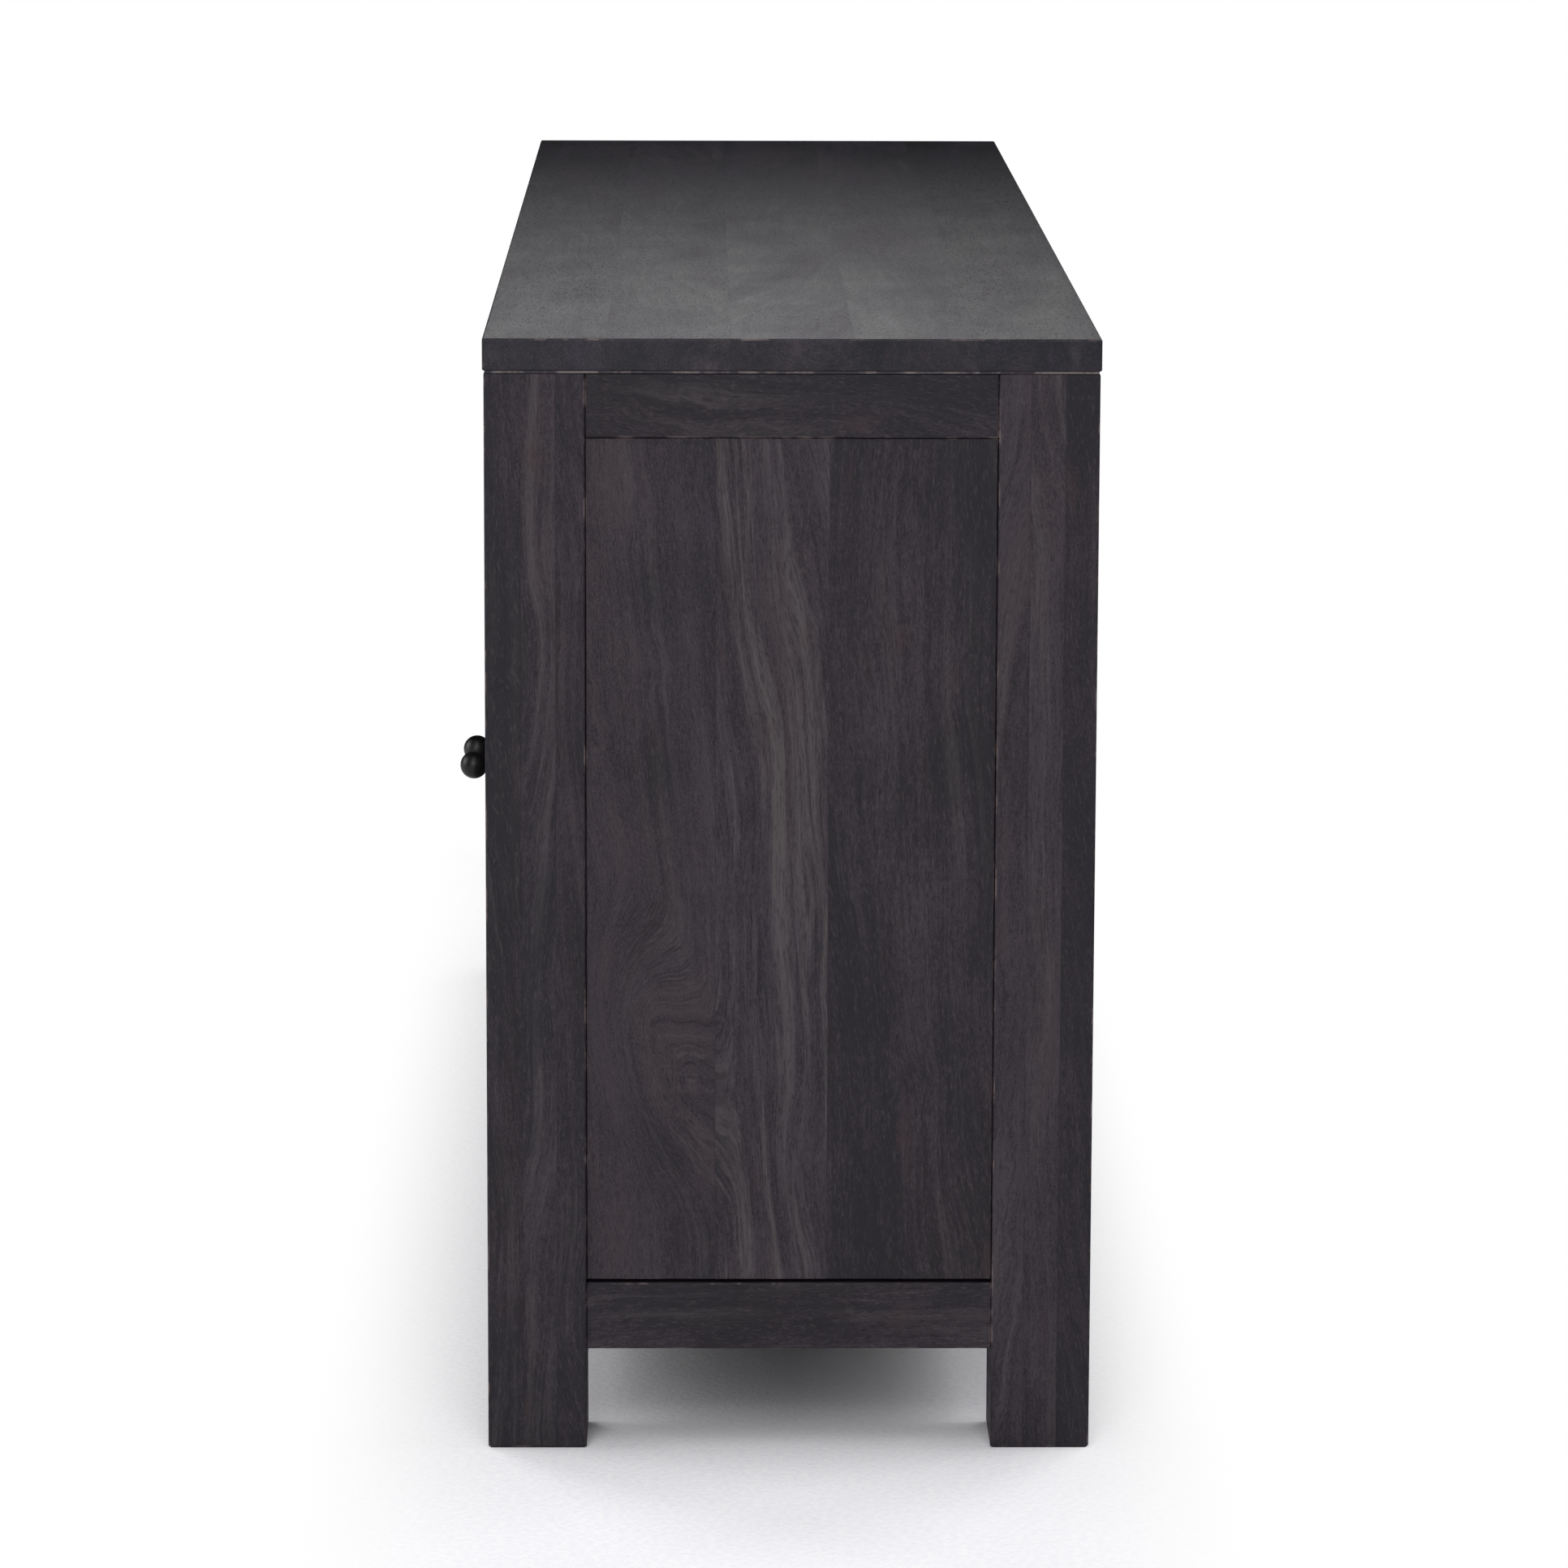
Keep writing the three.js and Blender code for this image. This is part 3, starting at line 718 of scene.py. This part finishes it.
def door_rail(door, name, bottom, groove_side):
    low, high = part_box(door + "_frame")
    panel_low, panel_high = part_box(door + "_panel")
    section = door_section(door, groove_side)
    left, right = low.x + STILE, high.x - STILE
    start = Vector((left, low.y, bottom))
    mesh = moulding([Vector((0, into, up)) for up, into in section], start, X * (right - left))
    ease(mesh)
    # a tongue on each end fills the stiles' grooves
    for place in (panel_low.y, panel_high.y):
        everything = mesh.verts[:] + mesh.edges[:] + mesh.faces[:]
        bmesh.ops.bisect_plane(mesh, geom=everything, plane_co=Y * place, plane_no=Y)
    for end, out in ((left, -X), (right, X)):
        middles = {face: face.calc_center_median() for face in mesh.faces}
        tips = [face for face, middle in middles.items()
                if abs(middle.x - end) < SAME_PLACE and panel_low.y < middle.y < panel_high.y]
        grown = bmesh.ops.extrude_face_region(mesh, geom=tips)
        far = [part for part in grown["geom"] if isinstance(part, bmesh.types.BMVert)]
        bmesh.ops.translate(mesh, vec=out * PANEL_IN, verts=far)
    new_piece(f"{door}_{name}", mesh, door, [STICKS[name]], [door + "_frame"])


def door_sticks(door, pin_side):
    low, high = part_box(door + "_frame")
    left, right = ("stile_pin", "stile_free") if pin_side == "left" else ("stile_free", "stile_pin")
    door_stile(door, left, low.x, 1)
    door_stile(door, right, high.x - STILE, 0)
    door_rail(door, "rail_top", high.z - STILE, 0)
    door_rail(door, "rail_bottom", low.z, 1)


def pin(node, body):
    low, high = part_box(node)
    middle = (low + high) / 2
    radius, long = (high.x - low.x) / 2, high.z - low.z
    tip = 0.6 * MM
    outline = [(0.0, 0.0), (radius - tip, 0.0), (radius, tip)]
    outline += [(radius, long - tip), (radius - tip, long), (0.0, long)]
    mesh = bmesh.new()
    turned(mesh, outline, Vector((middle.x, middle.y, low.z)), Z, steps=24)
    new_piece(node + "_turned", mesh, body, [STEEL], [node])
    return middle


PLATE_LONG, PLATE_WIDE, PLATE_THICK = 46 * MM, 11 * MM, 0.9 * MM
PLATE_PAST_PIN = 8 * MM
PLATE_SUNK = 0.2 * MM
PLATE_SCREWS = (16 * MM, 30 * MM)    # from the pin
DOOR_GAP = 2.5 * MM    # above and below a door
BUSH_BORE, BUSH_R, BUSH_LIP, BUSH_SOFT = 3.3 * MM, 6.6 * MM, 0.6 * MM, 0.4 * MM
BUSH_OUTLINE = [(BUSH_BORE, 0.0), (BUSH_BORE, -BUSH_LIP), (BUSH_R - BUSH_SOFT, -BUSH_LIP),
                (BUSH_R, BUSH_SOFT - BUSH_LIP), (BUSH_R, 0.0), (BUSH_BORE, 0.0)]


def pivot_plates(door, pin_side):
    """Small steel plates on the door's two ends, each held by two screws, and bushes in the rails."""
    low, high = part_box(door + "_frame")
    inwards = 1 if pin_side == "left" else -1
    plates, bushes = bmesh.new(), bmesh.new()
    for end, up, node in ((high.z, 1, "_pivot_top"), (low.z, -1, "_pivot_bottom")):
        middle = pin(door + node, door)
        near = middle.x - inwards * PLATE_PAST_PIN
        far = near + inwards * PLATE_LONG
        face = end + up * PLATE_THICK
        root = end - up * PLATE_SUNK
        corner = Vector((min(near, far), middle.y - PLATE_WIDE / 2, min(root, face)))
        other = Vector((max(near, far), middle.y + PLATE_WIDE / 2, max(root, face)))
        block(plates, corner, other, 3 * MM, along=2)
        for step in PLATE_SCREWS:
            place = Vector((middle.x + inwards * step, middle.y, face - up * 0.1 * MM))
            screw_head(plates, place, Z * up, 2.8 * MM, 0.7 * MM)
        rail_face = Vector((middle.x, middle.y, end + up * DOOR_GAP))
        turned(bushes, BUSH_OUTLINE, rail_face, Z * up, steps=28)
    new_piece(door + "_pivot_plates", plates, door, [STEEL])
    new_piece(door + "_pivot_bushes", bushes, "carcass", [STEEL])


CATCH_HALF = Vector((30 * MM, 0, 6 * MM))    # half of its length and height
CATCH_GAP = 1 * MM
MAGNET_OFF, MAGNET_HALF = 12 * MM, Vector((7 * MM, 0, 3.5 * MM))
CATCH_SCREW_OFF = 25 * MM
STRIKE_OFF, STRIKE_HALF, STRIKE_THICK = 13 * MM, Vector((9 * MM, 0, 5 * MM)), 0.8 * MM


def catch(side):
    """A slim double magnetic catch on the shelf's front edge, and a strike plate on each door's back."""
    outer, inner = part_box(f"door_{side}_outer_frame"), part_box(f"door_{side}_inner_frame")
    middle = (max(outer[0].x, inner[0].x) + min(outer[1].x, inner[1].x)) / 2
    door_back = outer[1].y
    shelf_low, shelf_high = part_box(f"shelf_{side}")
    level = (shelf_low.z + shelf_high.z) / 2
    mesh = bmesh.new()
    front = Vector((middle, door_back + STRIKE_THICK + CATCH_GAP, level))
    root = Vector((middle, shelf_low.y, level))
    block(mesh, front - CATCH_HALF, root + CATCH_HALF, 1.2 * MM)
    for way in (-1, 1):
        magnet = front + X * way * MAGNET_OFF
        block(mesh, magnet - MAGNET_HALF - Y * 0.5 * MM, magnet + MAGNET_HALF + Y * 1 * MM, 0.4 * MM,
              segments=2, material=1)
        screw = front + X * way * CATCH_SCREW_OFF + Y * 0.1 * MM
        screw_head(mesh, screw, -Y, 2.6 * MM, 0.8 * MM, material=2)
    new_piece(f"catch_{side}", mesh, "carcass", [MAGNET_CASE, MAGNET, STEEL])
    for door, box in ((f"door_{side}_outer", outer), (f"door_{side}_inner", inner)):
        way = 1 if (box[0].x + box[1].x) / 2 > middle else -1
        centre = Vector((middle + way * STRIKE_OFF, door_back, level))
        mesh = bmesh.new()
        block(mesh, centre - STRIKE_HALF - Y * 0.1 * MM, centre + STRIKE_HALF + Y * STRIKE_THICK * 0.6,
              1.6 * MM, along=1)
        screw_head(mesh, centre + Y * STRIKE_THICK * 0.5, Y, 2.2 * MM, 0.35 * MM)
        new_piece(door + "_strike", mesh, door, [STEEL])


for door, pin_side in CUPBOARDS.items():
    door_sticks(door, pin_side)
    pivot_plates(door, pin_side)
for side in ("left", "right"):
    catch(side)


# ---------------------------------------------------------------- drawers

BOX_WOOD = {
    "side": wood("box_side_wood", ORIGIN, Z, Y, 71.0, finish=CLEAR, wear=0.3),
    "end": wood("box_end_wood", ORIGIN, Z, X, 74.0, finish=CLEAR, wear=0.3),
}
BOX_EASE = 0.6 * MM
RUNNER_PLAY = 0.5 * MM


def drawer_boards(number):
    drawer = f"drawer_{number}"
    low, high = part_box(drawer + "_box")
    base_low, base_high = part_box(drawer + "_base")
    base_groove = (base_low.z - low.z, base_high.z - low.z, low.x + BOX_WALL - base_low.x)
    for side, s in (("left", -1), ("right", 1)):
        runner_low, runner_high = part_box(f"runner_{number}_{side}")
        run_in = (runner_high.x - low.x if s < 0 else high.x - runner_low.x) + RUNNER_PLAY
        runner_groove = (runner_low.z - RUNNER_PLAY - low.z, runner_high.z + RUNNER_PLAY - low.z, run_in)
        outer, inner = (0, 1) if s < 0 else (1, 0)
        section = notched(BOX_WALL, high.z - low.z, [(outer, *runner_groove), (inner, *base_groove)])
        left = low.x if s < 0 else high.x - BOX_WALL
        mesh = moulding([Vector((across, 0, up)) for across, up in section], Vector((left, low.y, low.z)),
                        Y * (high.y - low.y))
        ease(mesh, BOX_EASE)
        new_piece(f"{drawer}_side_{side}", mesh, drawer, [BOX_WOOD["side"]],
                  [drawer + "_box"])
    for name, near, inner in (("inner_front", low.y, 1), ("back", high.y - BOX_WALL, 0)):
        section = notched(BOX_WALL, high.z - low.z, [(inner, *base_groove)])
        start = Vector((low.x + BOX_WALL, near, low.z))
        mesh = moulding([Vector((0, into, up)) for into, up in section], start,
                        X * (high.x - low.x - 2 * BOX_WALL))
        ease(mesh, BOX_EASE)
        new_piece(f"{drawer}_{name}", mesh, drawer, [BOX_WOOD["end"]], [drawer + "_box"])


RUNNER_WOOD = wood("runner_wood", ORIGIN, Z, Y, 77.0, finish=CLEAR, wear=0.4)
BASE_WOOD = wood("drawer_base_wood", ORIGIN, X, Y, 79.0, finish=CLEAR, wear=0.2,
                 joints=(-65 * MM, 130 * MM, 2))

for number in DRAWERS:
    drawer_boards(number)
    finish_node(f"drawer_{number}_base", BASE_WOOD)
    dress_node(f"drawer_{number}_front", Z, X, 60.0 + 1.7 * number, wear=0.55)
    for side in ("left", "right"):
        finish_node(f"runner_{number}_{side}", RUNNER_WOOD)
for number, door in enumerate(CUPBOARDS):
    dress_node(door + "_panel", X, Z, 91.0 + 1.3 * number, joints=(-38 * MM, 76 * MM, 2))


# ---------------------------------------------------------------- floor, light and camera

FLOOR_R = 60.0


def studio_floor():
    """A pale matt plane. Away from the dresser, camera rays see it burnt out to white."""
    mesh = bmesh.new()
    bmesh.ops.create_circle(mesh, cap_ends=True, segments=96, radius=FLOOR_R)
    data = bpy.data.meshes.new("studio_floor")
    mesh.to_mesh(data)
    mesh.free()
    floor = bpy.data.objects.new("studio_floor", data)
    bpy.context.scene.collection.objects.link(floor)
    material = bpy.data.materials.new("pale_floor")
    material.use_nodes = True
    tree = material.node_tree
    shader = tree.nodes["Principled BSDF"]
    where = new_node(tree, "TexCoord")
    plaster = noise(tree, where.outputs["Object"], (170, 170, 170), detail=5.0, rough=0.65)
    shade = mix_colours(tree, ramp_between(tree, plaster, 0.35, 0.65), colour(246, 245, 251),
                        colour(254, 253, 255))
    tree.links.new(shade, shader.inputs["Base Color"])
    shader.inputs["Roughness"].default_value = 0.7
    bump = new_node(tree, "Bump")
    bump.inputs["Strength"].default_value = 0.5
    bump.inputs["Distance"].default_value = 1.2 * MM
    tree.links.new(plaster, bump.inputs["Height"])
    tree.links.new(bump.outputs[0], shader.inputs["Normal"])
    # reach is how far out a place is, beside the dresser or, counted less, ahead of its ends
    away = vector_node(tree, "ABSOLUTE", where.outputs["Object"])
    ahead, beside, _ = split(tree, vector_node(tree, "SUBTRACT", away, CAD_HIGH))
    reach = math_node(tree, "MAXIMUM", beside, math_node(tree, "MULTIPLY_ADD", ahead, 0.4, -0.17))
    seen = new_node(tree, "LightPath").outputs["Is Camera Ray"]
    glow = new_node(tree, "Emission")
    glow.inputs["Strength"].default_value = 1.0
    blend = new_node(tree, "MixShader")
    burnt = ramp_between(tree, reach, -0.08, 0.12)
    tree.links.new(math_node(tree, "MULTIPLY", burnt, seen), blend.inputs[0])
    tree.links.new(shader.outputs[0], blend.inputs[1])
    tree.links.new(glow.outputs[0], blend.inputs[2])
    tree.links.new(blend.outputs[0], tree.nodes["Material Output"].inputs["Surface"])
    data.materials.append(material)


def softbox(name, place, aim, size, power, spread=180, gloss=True):
    lamp = bpy.data.lights.new(name, "AREA")
    lamp.shape = "RECTANGLE"
    lamp.size, lamp.size_y = size
    lamp.energy = power
    lamp.spread = math.radians(spread)
    holder = bpy.data.objects.new(name, lamp)
    holder.location = place
    holder.rotation_euler = (Vector(aim) - Vector(place)).to_track_quat("-Z", "Y").to_euler()
    holder.visible_camera = False
    holder.visible_glossy = gloss
    bpy.context.scene.collection.objects.link(holder)


ROOM = 0.02    # how bright the room is where no lamp stands


def studio_light():
    """Soft lamps all round. Camera rays see a white room; every other ray sees a dark one."""
    world = bpy.data.worlds.new("studio")
    bpy.context.scene.world = world
    world.use_nodes = True
    sky = world.node_tree.nodes["Background"]
    sky.inputs["Color"].default_value = (1, 1, 1, 1)
    seen = new_node(world.node_tree, "LightPath").outputs["Is Camera Ray"]
    strength = math_node(world.node_tree, "MULTIPLY_ADD", seen, 1 - ROOM, ROOM)
    feed(world.node_tree, sky.inputs["Strength"], strength)
    softbox("end_key", (5.6, -1.0, 2.2), (0.9, 0.0, 0.4), (2.0, 2.0), 76)
    softbox("end_overhead", (3.2, 0.0, 3.0), (2.4, 0.0, 0.0), (1.6, 3.4), 62)
    softbox("end_high", (5.4, 0.0, 3.6), (1.6, 0.0, 0.0), (3.0, 1.6), 15)
    softbox("front_side", (0.0, -4.6, 2.6), (0.4, 0.0, 0.0), (3.0, 2.0), 95)
    softbox("front_fill", (0.6, -6.4, 1.3), (0.0, 0.0, 0.5), (3.4, 1.6), 60)
    softbox("back_side", (0.0, 4.6, 2.6), (0.4, 0.0, 0.0), (3.0, 2.0), 125, gloss=False)
    softbox("far_front_corner", (-3.4, -3.4, 2.6), (1.2, 0.0, 0.0), (2.4, 1.6), 130, gloss=False)
    softbox("far_back_corner", (-3.4, 3.4, 2.6), (1.2, 0.0, 0.0), (2.4, 1.6), 110, gloss=False)
    softbox("top_glance", (-3.6, 0.0, 2.3), (1.8, 0.0, 0.85), (2.0, 0.8), 0.183, spread=17)


EYE = Vector((5.767, -0.0527, 1.3857))
EYE_TURN = math.radians(0.739)
EYE_DOWN = math.radians(10.170)
EYE_ROLL = math.radians(0.183)
LENS, SENSOR = 151.0, 36.0    # in millimetres


def camera():
    data = bpy.data.cameras.new("camera")
    data.lens = LENS
    data.sensor_width = SENSOR
    data.clip_end = 200.0
    ahead = Vector((-math.cos(EYE_TURN), math.sin(EYE_TURN), 0))
    right = Vector((math.sin(EYE_TURN), math.cos(EYE_TURN), 0))
    forward = math.cos(EYE_DOWN) * ahead - math.sin(EYE_DOWN) * Z
    up = math.sin(EYE_DOWN) * ahead + math.cos(EYE_DOWN) * Z
    side = math.cos(EYE_ROLL) * right + math.sin(EYE_ROLL) * up
    top = math.cos(EYE_ROLL) * up - math.sin(EYE_ROLL) * right
    holder = bpy.data.objects.new("camera", data)
    holder.matrix_world = Matrix.Translation(EYE) @ Matrix((side, top, -forward)).transposed().to_4x4()
    bpy.context.scene.collection.objects.link(holder)
    bpy.context.scene.camera = holder


studio_floor()
studio_light()
camera()
bpy.context.scene.view_settings.view_transform = "Standard"
